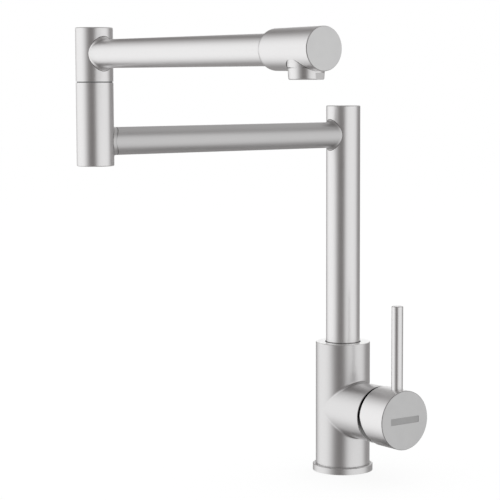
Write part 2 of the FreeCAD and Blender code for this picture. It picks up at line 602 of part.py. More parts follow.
def aerator(boss_low):
    """The screwed outlet ring with two wrench flats, its jet insert and washer."""
    low = boss_low - c.aerator_seat_gap - c.aerator_height
    thread_end = c.aerator_height + c.aerator_seat_gap + c.aerator_thread_height
    thread_radius = c.outlet_thread_radius - c.fixed_gap
    outline = [
        (c.aerator_lip_radius, 0), (c.aerator_foot_radius - c.aerator_round, 0),
        (c.aerator_foot_radius, c.aerator_round), (c.aerator_radius, c.aerator_height),
        (thread_radius, c.aerator_height), (thread_radius, thread_end),
        (c.aerator_bore_radius, thread_end), (c.aerator_bore_radius, c.aerator_lip_height),
        (c.aerator_lip_radius, c.aerator_lip_height)]
    housing = turned("aerator_blank", outline, {1: (c.aerator_round, 1)})
    centre = (outlet_reach, elbow, low)
    place(housing, centre)
    flat = c.aerator_across_flats / 2
    flats_turn = 16
    flats = []
    for name, heading in (("front", flats_turn), ("back", flats_turn + 180)):
        angle = math.radians(heading)
        side = block("aerator_flat_" + name, c.post_radius, 2 * c.post_radius, c.aerator_flat_height + c.overrun,
                     (0, 0, 0))
        corner_x = flat * math.cos(angle) + c.post_radius * math.sin(angle)
        corner_y = flat * math.sin(angle) - c.post_radius * math.cos(angle)
        turn = FreeCAD.Rotation(FreeCAD.Vector(0, 0, 1), heading)
        place(side, (outlet_reach + corner_x, elbow + corner_y, low - c.overrun), turn)
        flats.append(side)
    node("aerator_housing", cut("aerator_housing", housing, flats))

    insert_radius = c.aerator_bore_radius - c.fixed_gap
    insert_height = thread_end - c.aerator_lip_height
    cup = turned("insert_cup", [
        (0, 0), (insert_radius, 0), (insert_radius, insert_height),
        (insert_radius - c.insert_wall, insert_height), (insert_radius - c.insert_wall, c.insert_floor),
        (0, c.insert_floor)])
    insert_low = low + c.aerator_lip_height
    place(cup, (outlet_reach, elbow, insert_low))
    jets = [cylinder("jet_middle", c.jet_radius, c.insert_floor + 2 * c.overrun,
                     (outlet_reach, elbow, insert_low - c.overrun))]
    jets_per_ring = 6
    for ring_number in (1, 2):
        count = jets_per_ring * ring_number
        for index in range(count):
            angle = 2 * math.pi * index / count
            reach = c.jet_ring_pitch * ring_number
            jets.append(cylinder("jet_" + str(ring_number) + "_" + str(index), c.jet_radius,
                                 c.insert_floor + 2 * c.overrun,
                                 (outlet_reach + reach * math.cos(angle), elbow + reach * math.sin(angle),
                                  insert_low - c.overrun)))
    node("aerator_insert", cut("aerator_insert", cup, jets))
    node("aerator_washer", ring("aerator_washer", thread_radius, c.aerator_washer_bore,
                                c.outlet_thread_depth - c.aerator_thread_height,
                                (outlet_reach, elbow, boss_low + c.aerator_thread_height)))


def branch_ring(name, outer, inner, height, start):
    """A ring on the branch's axis, from a reach outwards."""
    return ring(name, outer, inner, height, (start, 0, c.hub_axis_height), ALONG_X)


def branch_drill(name, radius, height, start, across=0, up=0):
    """A round tool along the branch's axis, beside it by across and up."""
    return cylinder(name, radius, height, (start, across, c.hub_axis_height + up), ALONG_X)


def cartridge():
    """The ceramic cartridge: base, seals, housing, discs, carrier and rotor, held by the retaining nut."""
    half = c.inlet_spacing / 2
    base_start = c.chamber_floor + c.seal_proud
    disc_start = base_start + c.base_height
    slider_start = disc_start + c.disc_height + c.disc_film
    carrier_start = slider_start + c.slider_height
    housing_end = disc_start + c.cartridge_height
    ports = [("left", c.passage_radius, -half, -c.port_drop), ("right", c.passage_radius, half, -c.port_drop),
             ("out", c.outlet_passage_radius, 0, c.port_rise)]

    blank = branch_ring("base_blank", c.cartridge_radius - c.fixed_gap, 0, c.base_height, base_start)
    tools = []
    seals = []
    for name, radius, across, up in ports:
        seal_radius = radius + c.seal_width
        tools.append(branch_drill("base_port_" + name, radius, c.base_height + 2 * c.overrun,
                                  base_start - c.overrun, across, up))
        tools.append(branch_drill("seal_seat_" + name, seal_radius + c.fixed_gap,
                                  c.seal_height - c.seal_proud, base_start, across, up))
        seals.append(ring("port_seal_" + name, seal_radius, radius, c.seal_height,
                          (c.chamber_floor, across, c.hub_axis_height + up), ALONG_X))
    node("cartridge_base", cut("cartridge_base", blank, tools))
    node("cartridge_port_seals", fuse("cartridge_port_seals", seals))

    disc = branch_ring("disc_blank", c.disc_radius, 0, c.disc_height, disc_start)
    holes = [branch_drill("disc_port_" + name, radius, c.disc_height + 2 * c.overrun,
                          disc_start - c.overrun, across, up) for name, radius, across, up in ports]
    node("ceramic_disc_fixed", cut("ceramic_disc_fixed", disc, holes))

    slider = branch_ring("slider_blank", c.slider_radius, 0, c.slider_height, slider_start)
    hollow = branch_drill("slider_hollow", c.slider_hollow_radius, c.slider_hollow_depth + c.overrun,
                          slider_start - c.overrun)
    node("ceramic_disc_moving", cut("ceramic_disc_moving", slider, [hollow]))
    carrier = branch_ring("carrier_blank", c.carrier_radius, 0, c.carrier_height, carrier_start)
    ball_reach = c.pivot_reach - c.ball_back
    pocket = branch_drill("carrier_pocket", c.carrier_pocket_radius, c.carrier_height,
                          ball_reach - c.ball_radius - c.fixed_gap)
    node("disc_carrier", cut("disc_carrier", carrier, [pocket]))

    neck_start = c.cartridge_height - c.cartridge_neck_height
    node("cartridge_housing", place(turned("cartridge_housing", [
        (c.cartridge_bore_radius, 0), (c.cartridge_radius, 0), (c.cartridge_radius, c.cartridge_height),
        (c.cartridge_neck_radius, c.cartridge_height), (c.cartridge_neck_radius, neck_start),
        (c.cartridge_bore_radius, neck_start)]), (disc_start, 0, c.hub_axis_height), ALONG_X))

    flange = c.cartridge_bore_radius - c.sleeve_gap
    length = c.rotor_flange_height + c.rotor_neck_height
    rotor = turned("rotor_blank", [
        (0, 0), (flange, 0), (flange, c.rotor_flange_height), (c.rotor_neck_radius, c.rotor_flange_height),
        (c.rotor_neck_radius, length), (0, length)])
    place(rotor, (c.rotor_start, 0, c.hub_axis_height), ALONG_X)
    slot_half = c.tongue_width / 2 + c.sleeve_gap
    slot = block("rotor_slot", length + 2 * c.overrun, 2 * slot_half, c.slot_down + c.slot_up,
                 (c.rotor_start - c.overrun, -slot_half, c.hub_axis_height - c.slot_down))
    pin_hole = cylinder("rotor_pin_hole", c.pivot_pin_radius, c.pivot_pin_length + c.overrun,
                        (c.pivot_reach, (c.pivot_pin_length + c.overrun) / 2, c.hub_axis_height), ALONG_MINUS_Y)
    node("cartridge_rotor", cut("cartridge_rotor", rotor, [slot, pin_hole]))
    node("spindle_pivot_pin", cylinder("spindle_pivot_pin", c.pivot_pin_radius, c.pivot_pin_length,
                                       (c.pivot_reach, c.pivot_pin_length / 2, c.hub_axis_height),
                                       ALONG_MINUS_Y))
    node("cartridge_retaining_nut", branch_ring("cartridge_retaining_nut", c.retainer_radius - c.fixed_gap,
                                                c.retainer_bore_radius, c.retainer_height, housing_end))
    dome_cover(housing_end + c.retainer_height)


def dome_cover(foot):
    """The rounded cover on the retaining nut, centred on the lever's pivot."""
    depth = foot - c.pivot_reach
    inner = c.dome_radius - c.dome_wall
    outline = [(leg(c.dome_radius, depth), 0),
               (c.dome_mouth_radius, leg(c.dome_radius, c.dome_mouth_radius) - depth),
               (c.dome_mouth_radius, leg(inner, c.dome_mouth_radius) - depth), (leg(inner, depth), 0)]
    arcs = {0: (c.dome_radius, 1), 2: (inner, -1)}
    node("dome_cover", place(turned("dome_cover", outline, arcs), (foot, 0, c.hub_axis_height), ALONG_X))


def spindle():
    """The lever's spindle: a ball that drives the disc, a tongue on the pivot pin, and a square end."""
    ball_reach = c.pivot_reach - c.ball_back
    tongue_start = c.pivot_reach - c.stem_gap
    square_start = c.pivot_reach + c.tongue_front
    axis = c.hub_axis_height
    tongue = c.tongue_width / 2
    square = c.square_width / 2
    pieces = [
        ball("spindle_ball", c.ball_radius, (ball_reach, 0, axis)),
        cylinder("spindle_stem", c.stem_radius, c.ball_back, (ball_reach, 0, axis), ALONG_X),
        block("spindle_tongue", c.stem_gap + c.tongue_front, c.tongue_width, c.tongue_width,
              (tongue_start, -tongue, axis - tongue)),
        block("spindle_square", c.square_front - c.tongue_front, c.square_width, c.square_width,
              (square_start, -square, axis - square)),
    ]
    hole = cylinder("spindle_pin_hole", c.pivot_pin_radius + c.running_gap, c.pivot_pin_length,
                    (c.pivot_reach, c.pivot_pin_length / 2, axis), ALONG_MINUS_Y)
    node("cartridge_spindle", cut("cartridge_spindle", fuse("spindle_blank", pieces), [hole]))


def handle():
    """The drum with its boss, the lever rod, and the screw that clamps the drum to the spindle."""
    axis = c.hub_axis_height
    inner = c.hub_radius - c.hub_wall
    rim = c.hub_radius - c.hub_chamfer
    drum = turned("hub_drum", [
        (0, c.hub_boss_start), (c.hub_boss_radius, c.hub_boss_start), (c.hub_boss_radius, c.hub_hollow_depth),
        (inner, c.hub_hollow_depth), (inner, 0), (c.hub_radius, 0), (c.hub_radius, c.hub_length - c.hub_chamfer),
        (rim, c.hub_length), (0, c.hub_length)])
    place(drum, (hub_start, 0, axis), ALONG_X)
    square = c.square_width / 2 + c.fixed_gap
    socket_end = c.pivot_reach + c.square_front
    bar_start = hub_face - c.bar_depth
    tools = [
        block("hub_socket", socket_end - hub_start, 2 * square, 2 * square, (hub_start, -square, axis - square)),
        relief(axis),
        cylinder("lever_spot_face", c.lever_radius + c.lever_seat_gap, c.hub_radius,
                 (c.lever_reach, 0, axis + c.lever_seat)),
        cylinder("lever_thread", c.lever_stud_radius, c.hub_radius, (c.lever_reach, 0, axis + c.lever_stud_end)),
        cylinder("grub_thread", c.grub_radius, c.hub_boss_radius, (c.grub_reach, 0, axis), HANGING),
        cylinder("plug_hole", c.plug_radius, c.hub_radius, (c.grub_reach, 0, axis - c.hub_boss_radius), HANGING),
        block("bar_recess", c.hub_length, c.bar_length, c.bar_width,
              (bar_start, -c.bar_length / 2, axis - c.bar_width / 2)),
    ]
    node("handle_hub", cut("handle_hub", drum, tools))

    seat = c.lever_seat - c.lever_stud_end
    top = c.lever_top - c.lever_stud_end
    stud = c.lever_stud_radius - c.fixed_gap
    tip = c.lever_radius - c.lever_chamfer
    node("lever_rod", place(turned("lever_rod", [
        (0, 0), (stud, 0), (stud, seat), (c.lever_radius, seat), (c.lever_radius, top - c.lever_chamfer),
        (tip, top), (0, top)]), (c.lever_reach, 0, axis + c.lever_stud_end)))

    grub_low = axis - square - c.grub_length
    screw = cylinder("grub_blank", c.grub_radius - c.fixed_gap, c.grub_length, (c.grub_reach, 0, grub_low))
    node("hub_grub_screw", cut("hub_grub_screw", screw,
                               [hex_socket("grub_hex", (c.grub_reach, 0, grub_low), UPRIGHT)]))
    plug_blank = cylinder("plug_blank", c.plug_radius - c.fixed_gap, c.hub_wall + c.hub_chamfer,
                          (c.grub_reach, 0, axis - c.hub_radius))
    plug_skin = branch_ring("plug_skin", c.hub_radius, inner, c.hub_length, hub_start)
    plug = doc.addObject("Part::MultiCommon", "hub_screw_plug")
    plug.Shapes = [plug_blank, plug_skin]
    node("hub_screw_plug", plug)


def relief(axis):
    """The wedge cut from the drum's rear rim below its axis, which leaves room for the lever to tilt."""
    wedge = doc.addObject("PartDesign::Body", "relief_wedge")
    sketch = wedge.newObject("Sketcher::SketchObject", "relief_outline")
    plane = [item for item in wedge.Origin.OriginFeatures if item.Role == "XZ_Plane"][0]
    sketch.AttachmentSupport = (plane, "")
    sketch.MapMode = "FlatFace"
    bottom = c.hub_radius + c.overrun + c.relief_top
    corners = [(Size(0, "0"), Size(0, "0")), (c.relief_depth, c.relief_top + c.relief_run),
               (c.relief_depth, bottom), (Size(0, "0"), bottom)]
    for index, (x, y) in enumerate(corners):
        next_x, next_y = corners[(index + 1) % len(corners)]
        sketch.addGeometry(Part.LineSegment(FreeCAD.Vector(x.number, y.number, 0),
                                            FreeCAD.Vector(next_x.number, next_y.number, 0)), False)
    for index in range(len(corners)):
        sketch.addConstraint(Sketcher.Constraint("Coincident", index, 2, (index + 1) % len(corners), 1))
    for index, (x, y) in enumerate(corners):
        pin_down(sketch, index, 1, "X", x)
        pin_down(sketch, index, 1, "Y", y)
    pad = wedge.newObject("PartDesign::Pad", "relief_pad")
    pad.Profile = sketch
    pad.setExpression("Length", (2 * (c.hub_radius + c.overrun)).formula)
    pad.Midplane = True
    return place(wedge, (hub_start, 0, axis + c.relief_top), HANGING)


deck_fixing()
socket_floor_height = body()
column_swivel(socket_floor_height)
column_and_lower_arm()
lower_post_top = elbow_lower_half()
elbow_upper_half(lower_post_top)
outlet_seat = spout_head()
aerator(outlet_seat)
cartridge()
spindle()
handle()
doc.recompute()

for item in doc.Objects:
    if "Invalid" in item.State or "Error" in item.State:
        raise RuntimeError("not built: " + item.Label + " " + str(item.State))
for name, item in nodes.items():
    if item.Shape.isNull() or not item.Shape.isValid():
        raise RuntimeError("bad shape: " + name)
    item.Shape.exportStep("parts/" + name + ".step")
print(len(nodes), "pieces written")
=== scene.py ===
import math

import bpy
from mathutils import Matrix, Vector


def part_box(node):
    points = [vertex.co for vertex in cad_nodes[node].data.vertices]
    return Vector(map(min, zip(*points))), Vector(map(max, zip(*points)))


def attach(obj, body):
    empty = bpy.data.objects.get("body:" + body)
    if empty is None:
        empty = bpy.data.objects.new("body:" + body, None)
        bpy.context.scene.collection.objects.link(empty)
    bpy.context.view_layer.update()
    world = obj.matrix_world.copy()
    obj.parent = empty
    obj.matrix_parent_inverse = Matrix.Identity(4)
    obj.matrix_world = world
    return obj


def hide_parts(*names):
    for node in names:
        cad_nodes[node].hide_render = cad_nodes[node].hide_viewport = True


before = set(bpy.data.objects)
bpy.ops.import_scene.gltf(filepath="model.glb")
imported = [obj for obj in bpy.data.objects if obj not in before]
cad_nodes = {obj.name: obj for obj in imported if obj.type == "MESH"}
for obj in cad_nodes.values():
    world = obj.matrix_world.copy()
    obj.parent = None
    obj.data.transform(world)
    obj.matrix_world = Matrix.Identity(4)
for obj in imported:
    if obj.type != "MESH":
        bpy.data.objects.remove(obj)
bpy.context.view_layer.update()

MM = 0.001

# Places on the tap
COLUMN = Vector((0.0, 0.0, 0.0)) * MM
ELBOW = Vector((0.0, -236.5, 0.0)) * MM
OUTLET = Vector((259.0, -236.5, 0.0)) * MM
HUB_AXIS = Vector((0.0, 0.0, 53.4)) * MM
BODY_MOUTH_HEIGHT = 103.0 * MM
BODY_TOP = 108.1 * MM
LOWER_ARM_HEIGHT = 280.0 * MM
HEAD_AXIS_HEIGHT = 345.0 * MM


class Wire:
    """A value, colour or vector in a material's node tree, which can be used in sums."""

    def __init__(self, tree, socket):
        self.tree = tree
        self.socket = socket

    def maths(self, operation, *others):
        return add_node(self.tree, "ShaderNodeMath", {"operation": operation}, (self, *others))

    def __add__(self, other):
        return self.maths("ADD", other)

    def __sub__(self, other):
        return self.maths("SUBTRACT", other)

    def __mul__(self, other):
        return self.maths("MULTIPLY", other)

    def __gt__(self, other):
        return self.maths("GREATER_THAN", other)

    def __lt__(self, other):
        return self.maths("LESS_THAN", other)

    __and__ = __mul__


def feed(tree, socket, value):
    """Links a wire to a socket, or sets the socket's own number, vector or colour."""
    if isinstance(value, Wire):
        tree.links.new(value.socket, socket)
    else:
        socket.default_value = value


def add_node(tree, kind, settings=None, values=(), output=0):
    """Adds a node: its settings first, then its sockets' values or wires, in order or by name."""
    item = tree.nodes.new(kind)
    for key, setting in (settings or {}).items():
        setattr(item, key, setting)
    pairs = values.items() if isinstance(values, dict) else enumerate(values)
    for key, value in pairs:
        feed(tree, item.inputs[key], value)
    return Wire(tree, item.outputs[output])


def blend_colours(tree, factor, first, second):
    """Goes from the first colour to the second as the factor goes from 0 to 1."""
    item = tree.nodes.new("ShaderNodeMix")
    item.data_type = "RGBA"
    sockets = {socket.name: socket for socket in item.inputs if socket.enabled}
    for name, value in (("Factor", factor), ("A", first), ("B", second)):
        feed(tree, sockets[name], value)
    return Wire(tree, next(socket for socket in item.outputs if socket.enabled))


def ramp(tree, value, low, high, first, last, course="LINEAR"):
    """Goes from first to last as the value goes from low to high, and stays there beyond."""
    return add_node(tree, "ShaderNodeMapRange", {"interpolation_type": course},
                    (value, low, high, first, last))


def between(value, low, high):
    """1 where the value lies between low and high, and 0 elsewhere."""
    return (value > low) & (value < high)


def part_of(tree, place, axis):
    """The x, y or z of a place."""
    return add_node(tree, "ShaderNodeSeparateXYZ", {}, {"Vector": place}, output=axis.upper())


ACROSS = {"x": (0.0, 1.0, 1.0), "z": (1.0, 1.0, 0.0)}


def away_from(tree, place, spot, axis):
    """How far a place is from the line through a spot along an axis."""
    offset = add_node(tree, "ShaderNodeVectorMath", {"operation": "SUBTRACT"}, (place, spot))
    flat = add_node(tree, "ShaderNodeVectorMath", {"operation": "MULTIPLY"},
                    (offset, ACROSS[axis]))
    return add_node(tree, "ShaderNodeVectorMath", {"operation": "LENGTH"}, (flat,), output="Value")


def new_finish(name):
    """A material, its node tree and its Principled shader."""
    material = bpy.data.materials.new(name)
    material.use_nodes = True
    tree = material.node_tree
    return material, tree, tree.nodes["Principled BSDF"]


def place_on(tree):
    """Where each point of the surface lies, in the object's own coordinates."""
    return add_node(tree, "ShaderNodeTexCoord", output="Object")


def grain(tree, place, stretch, scale, detail):
    """Noise around 0.5, drawn out along the axes whose stretch is small."""
    spread = add_node(tree, "ShaderNodeMapping", {}, {"Vector": place, "Scale": stretch})
    return add_node(tree, "ShaderNodeTexNoise", {},
                    {"Vector": spread, "Scale": scale, "Detail": detail})


def hex_colour(text):
    """A linear colour from its six hexadecimal digits."""
    parts = [int(text[i:i + 2], 16) / 255 for i in (0, 2, 4)]
    linear = [c / 12.92 if c <= 0.04045 else ((c + 0.055) / 1.055) ** 2.4 for c in parts]
    return (*linear, 1.0)


STEEL = (0.83, 0.824, 0.824)
STEEL_SHADE = (0.75, 0.743, 0.745)
# The colours of the marks on the steel: the faces and the sunk bar, then painted shadow, painted
# shade lines, painted light and a painted highlight
HEAD_FACE = (0.63, 0.63, 0.63, 1.0)
DRUM_FACE = (0.56, 0.56, 0.56, 1.0)
BAR_FACE = (0.46, 0.46, 0.46, 1.0)
SHADE = (0.02, 0.02, 0.02, 1.0)
# Painted shade for the thin dark lines in creases and hollows
CREASE_SHADE = (0.16, 0.15, 0.15, 1.0)
# Painted light where light comes into the lower part of the gap behind the drum
GAP_LIGHT = (0.9, 0.9, 0.9, 1.0)
# Painted highlight on the body's top face
TOP_HIGHLIGHT = (0.97, 0.97, 0.97, 1.0)

UNSTRETCHED = (1.0, 1.0, 1.0)
# The stretch that draws the brushed lines round each axis
LINES_ROUND = {"x": (1.0, 0.06, 0.06), "y": (0.06, 1.0, 0.06), "z": (0.06, 0.06, 1.0)}
LINE_SCALE = 2600.0
LINE_DETAIL = 3.0
LINE_SHARE = 0.7
LINE_GLOSS = 0.12
LINE_BUMP = 0.05
LINE_DEPTH = 0.1 * MM
CLOUD_SCALE = 26.0
CLOUD_DETAIL = 2.0
CLOUD_SHARE = 0.3
CLOUD_GLOSS = 0.06


def satin_steel(name, axis, roughness=0.32, painted_shade=1.0, marks=()):
    """Belt-brushed stainless steel, its fine lines running round the given axis.

    Its fourth argument darkens its colour: painted shade on pieces of the same steel that show
    darker.
    Each mark is a function that gives where it lies, and its colour and roughness."""
    material, tree, shader = new_finish(name)
    place = place_on(tree)
    lines = grain(tree, place, LINES_ROUND[axis], LINE_SCALE, LINE_DETAIL)
    clouds = grain(tree, place, UNSTRETCHED, CLOUD_SCALE, CLOUD_DETAIL)
    shades = [(*(part * painted_shade for part in colour), 1.0) for colour in (STEEL_SHADE, STEEL)]
    colour = blend_colours(tree, lines * LINE_SHARE + clouds * CLOUD_SHARE, *shades)
    least = roughness - (LINE_GLOSS + CLOUD_GLOSS) / 2
    rough = lines * LINE_GLOSS + (clouds * CLOUD_GLOSS + least)
    for where, mark_colour, mark_roughness in marks:
        inside = where(tree, place)
        colour = blend_colours(tree, inside, colour, mark_colour)
        rough = rough + inside * (mark_roughness - roughness)
    bump = add_node(tree, "ShaderNodeBump", {},
                    {"Strength": LINE_BUMP, "Distance": LINE_DEPTH, "Height": lines})
    feed(tree, shader.inputs["Base Color"], colour)
    feed(tree, shader.inputs["Roughness"], rough)
    feed(tree, shader.inputs["Normal"], bump)
    shader.inputs["Metallic"].default_value = 1.0
    return material


FINE_DETAIL = 3.0
FINE_GLOSS = 0.15
FINE_DEPTH = 0.2 * MM


def plain_finish(name, dark, light, roughness, metallic=0.0, scale=400.0, bump_strength=0.1,
                 stretch=UNSTRETCHED, coat=0.0):
    """A moulded, cast or machined finish: two close shades, uneven gloss and a fine grain."""
    material, tree, shader = new_finish(name)
    place = place_on(tree)
    fine = grain(tree, place, stretch, scale, FINE_DETAIL)
    colour = blend_colours(tree, fine, hex_colour(dark), hex_colour(light))
    bump = add_node(tree, "ShaderNodeBump", {},
                    {"Strength": bump_strength, "Distance": FINE_DEPTH, "Height": fine})
    feed(tree, shader.inputs["Base Color"], colour)
    feed(tree, shader.inputs["Roughness"], fine * FINE_GLOSS + (roughness - FINE_GLOSS / 2))
    feed(tree, shader.inputs["Normal"], bump)
    shader.inputs["Metallic"].default_value = metallic
    shader.inputs["Coat Weight"].default_value = coat
    return material


HEAD_FACE_START = 277.1 * MM
DRUM_FACE_START = 79.0 * MM
BAR_FLOOR = (79.1 * MM, 79.4 * MM)
DRUM_HOLLOW_RADIUS = 22.6 * MM
DRUM_HOLLOW_END = 66.0 * MM
LIT_GAP = (44.0 * MM, 54.0 * MM)
BRANCH_END_START = 47.9 * MM
BRANCH_END_RADIUS = 22.8 * MM


def head_face(tree, place):
    return part_of(tree, place, "x") > HEAD_FACE_START


def drum_face(tree, place):
    return part_of(tree, place, "x") > DRUM_FACE_START


def sunk_bar(tree, place):
    """The floor of the plain bar sunk into the drum's face."""
    return between(part_of(tree, place, "x"), *BAR_FLOOR)


def low_down(tree, place):
    """1 in the lower part of the gap behind the drum, where the drum's relief lets light in."""
    return ramp(tree, part_of(tree, place, "z"), *LIT_GAP, 1.0, 0.0)


def drum_inside_shadow(tree, place):
    """The drum's hollow back, which gets a painted shadow."""
    near = away_from(tree, place, HUB_AXIS, "x") < DRUM_HOLLOW_RADIUS
    return near & (part_of(tree, place, "x") < DRUM_HOLLOW_END)


# Painted light: the lower part of the drum's hollow back, lit through the drum's relief, over its
# painted shadow
def drum_inside_low_light(tree, place):
    return drum_inside_shadow(tree, place) & low_down(tree, place)


def branch_end_shadow(tree, place):
    """The branch's end face, inside its edge, which gets a painted shadow from the drum."""
    near = away_from(tree, place, HUB_AXIS, "x") < BRANCH_END_RADIUS
    return (part_of(tree, place, "x") > BRANCH_END_START) & near


# Painted light: the lower part of the branch's end, lit through the drum's relief, over its
# painted shadow
def branch_end_low_light(tree, place):
    return (part_of(tree, place, "x") > BRANCH_END_START) & low_down(tree, place)


MOUTH_RADIUS = 14.9 * MM
MOUTH_MARGIN = 0.1 * MM
RIM_HEIGHT = 0.3 * MM
FOOT_LINE_HEIGHT = 0.45 * MM


def column_mouth(tree, place):
    """The shadowed slot round the column's foot."""
    near = away_from(tree, place, COLUMN, "z") < MOUTH_RADIUS
    return near & (part_of(tree, place, "z") > BODY_MOUTH_HEIGHT - MOUTH_MARGIN)


def body_top_highlight(tree, place):
    """The body's top face, which gets a painted highlight."""
    return part_of(tree, place, "z") > BODY_TOP - RIM_HEIGHT


def column_foot_shade(tree, place):
    """The painted shade line round the column just over the body: a painted contact shadow and a
    painted reflection of the dark slot.
    """
    return part_of(tree, place, "z") < BODY_TOP + FOOT_LINE_HEIGHT


BODY_RADIUS = 22.5 * MM
BRANCH_RADIUS = 22.3 * MM
BRANCH_TAPER = 0.0251
HOLLOW_FADE = (0.2 * MM, 0.6 * MM)
HOLLOW_STRENGTH = 0.75
HOLLOW_DEPTH = 1.0 * MM


def branch_hollow_shade(tree, place):
    """The painted shade line in the hollow between the body and its branch."""
    x = part_of(tree, place, "x")
    off_body = away_from(tree, place, COLUMN, "z") - BODY_RADIUS
    off_branch = away_from(tree, place, HUB_AXIS, "x") - (x * BRANCH_TAPER + BRANCH_RADIUS)
    least = off_body.maths("MINIMUM", off_branch)
    return ramp(tree, least, *HOLLOW_FADE, 0.0, HOLLOW_STRENGTH) & (least < HOLLOW_DEPTH)


WELD_LINE_RADIUS = 14.16 * MM
BEAD_LINE = (15.5 * MM, 16.1 * MM)
BEAD_SPREAD = 0.17
BEAD_FADE = (2.0 * MM, 8.0 * MM)
BEAD_STRENGTH = (0.2, 1.0)


def weld_crease_shade(spot):
    """The painted shade line in the crease where an arm's weld meets the post at a spot."""
    return lambda tree, place: away_from(tree, place, spot, "z") < WELD_LINE_RADIUS


def bead_end_shade(tree, place):
    """The painted shade line where the lower arm's weld bead ends, further out over and under the
    arm.
    """
    off_axis = (part_of(tree, place, "z") - LOWER_ARM_HEIGHT).maths("ABSOLUTE")
    near = away_from(tree, place, ELBOW, "z") - off_axis * BEAD_SPREAD
    return between(near, *BEAD_LINE) & ramp(tree, off_axis, *BEAD_FADE, *BEAD_STRENGTH)


OUTLET_LINE = (12.2 * MM, 12.7 * MM)
OUTLET_FADE = (336.2 * MM, 338.4 * MM)


def outlet_crease_shade(tree, place):
    """The painted shade line in the crease round the foot of the outlet's boss."""
    z = part_of(tree, place, "z")
    line = between(away_from(tree, place, OUTLET, "z"), *OUTLET_LINE)
    return line & (z < HEAD_AXIS_HEIGHT) & ramp(tree, z, *OUTLET_FADE, 1.0, 0.0)


def paint(material, *names):
    """Gives CAD nodes a finish in place of their plain one."""
    for name in names:
        slots = cad_nodes[name].data.materials
        for index in range(len(slots)):
            slots[index] = material


def deselect():
    for item in bpy.context.selected_objects:
        item.select_set(False)


SHANK_BORE_RADIUS = 13.0 * MM
SHANK_CHAMFER = 1.0 * MM
STEPS_ROUND = 48
THREAD_PITCH = 1.5 * MM
THREAD_DEPTH = 0.9 * MM
# How far one turn's outline goes out and up at each step, in parts of the thread's depth and
# pitch. Its crest stands a little over the shank, which trims it flat
THREAD_STEPS = ((1.2, 0.4), (0.0, 0.05), (-1.2, 0.4), (0.0, 0.15))
# How many pitches below its end the screw starts, which keeps its corners off the flat cut, and
# how many turns it has to spare
LEAD_PITCHES = 2.3
SPARE_TURNS = 4
SMOOTH_ANGLE = math.radians(25.0)
MERGE_DISTANCE = 0.001 * MM
# An end face is one whose normal points this much up or down, and the middle one of an end is the
# one whose middle is this near the axis
END_FACE_NORMAL = 0.9
MIDDLE_FACE_RADIUS = 1.0 * MM


def select_faces(piece, wanted):
    """In edit mode, selects the faces whose middle and normal are wanted."""
    bpy.ops.mesh.select_mode(type="FACE")
    bpy.ops.mesh.select_all(action="DESELECT")
    bpy.ops.object.mode_set(mode="OBJECT")
    for face in piece.data.polygons:
        face.select = wanted(face.center, face.normal)
    bpy.ops.object.mode_set(mode="EDIT")


def close_and_turn_outwards():
    """Merges doubles, turns every face outwards and leaves edit mode."""
    bpy.ops.mesh.select_all(action="SELECT")
    bpy.ops.mesh.remove_doubles(threshold=MERGE_DISTANCE)
    bpy.ops.mesh.normals_make_consistent(inside=False)
    bpy.ops.object.mode_set(mode="OBJECT")


def make_shank_blank(radius, low, high):
    """The plain shank: a round bar with its lower rim bevelled, bored from end to end."""
    deselect()
    bpy.ops.mesh.primitive_cylinder_add(vertices=STEPS_ROUND, radius=radius, depth=high - low,
                                        location=(0.0, 0.0, (low + high) / 2))
    bpy.ops.object.transform_apply(location=True)
    shank = bpy.context.active_object
    bpy.ops.object.mode_set(mode="EDIT")
    select_faces(shank, lambda middle, normal: normal.z < -END_FACE_NORMAL)
    bpy.ops.mesh.bevel(offset=SHANK_CHAMFER, segments=1, affect="EDGES")
    for side, rim in ((-1.0, radius - SHANK_CHAMFER), (1.0, radius)):
        select_faces(shank, lambda middle, normal: normal.z * side > END_FACE_NORMAL)
        bpy.ops.mesh.inset(thickness=rim - SHANK_BORE_RADIUS)
    select_faces(shank, lambda middle, normal: (abs(normal.z) > END_FACE_NORMAL
                                                and middle.xy.length < MIDDLE_FACE_RADIUS))
    bpy.ops.mesh.bridge_edge_loops()
    close_and_turn_outwards()
    return shank


def wind_screw(root_radius, low, high):
    """A solid screw between two heights, wound from one turn's outline, with flat ends."""
    deselect()
    bpy.ops.mesh.primitive_plane_add(size=THREAD_PITCH, location=(0.0, 0.0, 0.0))
    screw = bpy.context.active_object
    bpy.ops.object.mode_set(mode="EDIT")
    bpy.ops.mesh.select_mode(type="VERT")
    bpy.ops.mesh.merge(type="CENTER")
    bpy.ops.mesh.select_all(action="SELECT")
    bpy.ops.transform.translate(value=(root_radius, 0.0, low - LEAD_PITCHES * THREAD_PITCH))
    for out, up in THREAD_STEPS:
        step = (out * THREAD_DEPTH, 0.0, up * THREAD_PITCH)
        bpy.ops.mesh.extrude_region_move(TRANSFORM_OT_translate={"value": step})
    bpy.ops.object.mode_set(mode="OBJECT")
    winding = screw.modifiers.new("winding", "SCREW")
    winding.screw_offset = THREAD_PITCH
    winding.steps = winding.render_steps = STEPS_ROUND
    winding.iterations = math.ceil((high - low) / THREAD_PITCH) + SPARE_TURNS
    bpy.ops.object.modifier_apply(modifier="winding")
    bpy.ops.object.mode_set(mode="EDIT")
    for height, side in ((low, "clear_inner"), (high, "clear_outer")):
        bpy.ops.mesh.select_all(action="SELECT")
        bpy.ops.mesh.remove_doubles(threshold=MERGE_DISTANCE)
        bpy.ops.mesh.bisect(plane_co=(0.0, 0.0, height), plane_no=(0.0, 0.0, 1.0),
                            **{side: True})
    bpy.ops.mesh.select_all(action="SELECT")
    bpy.ops.mesh.fill_holes(sides=0)
    close_and_turn_outwards()
    return screw


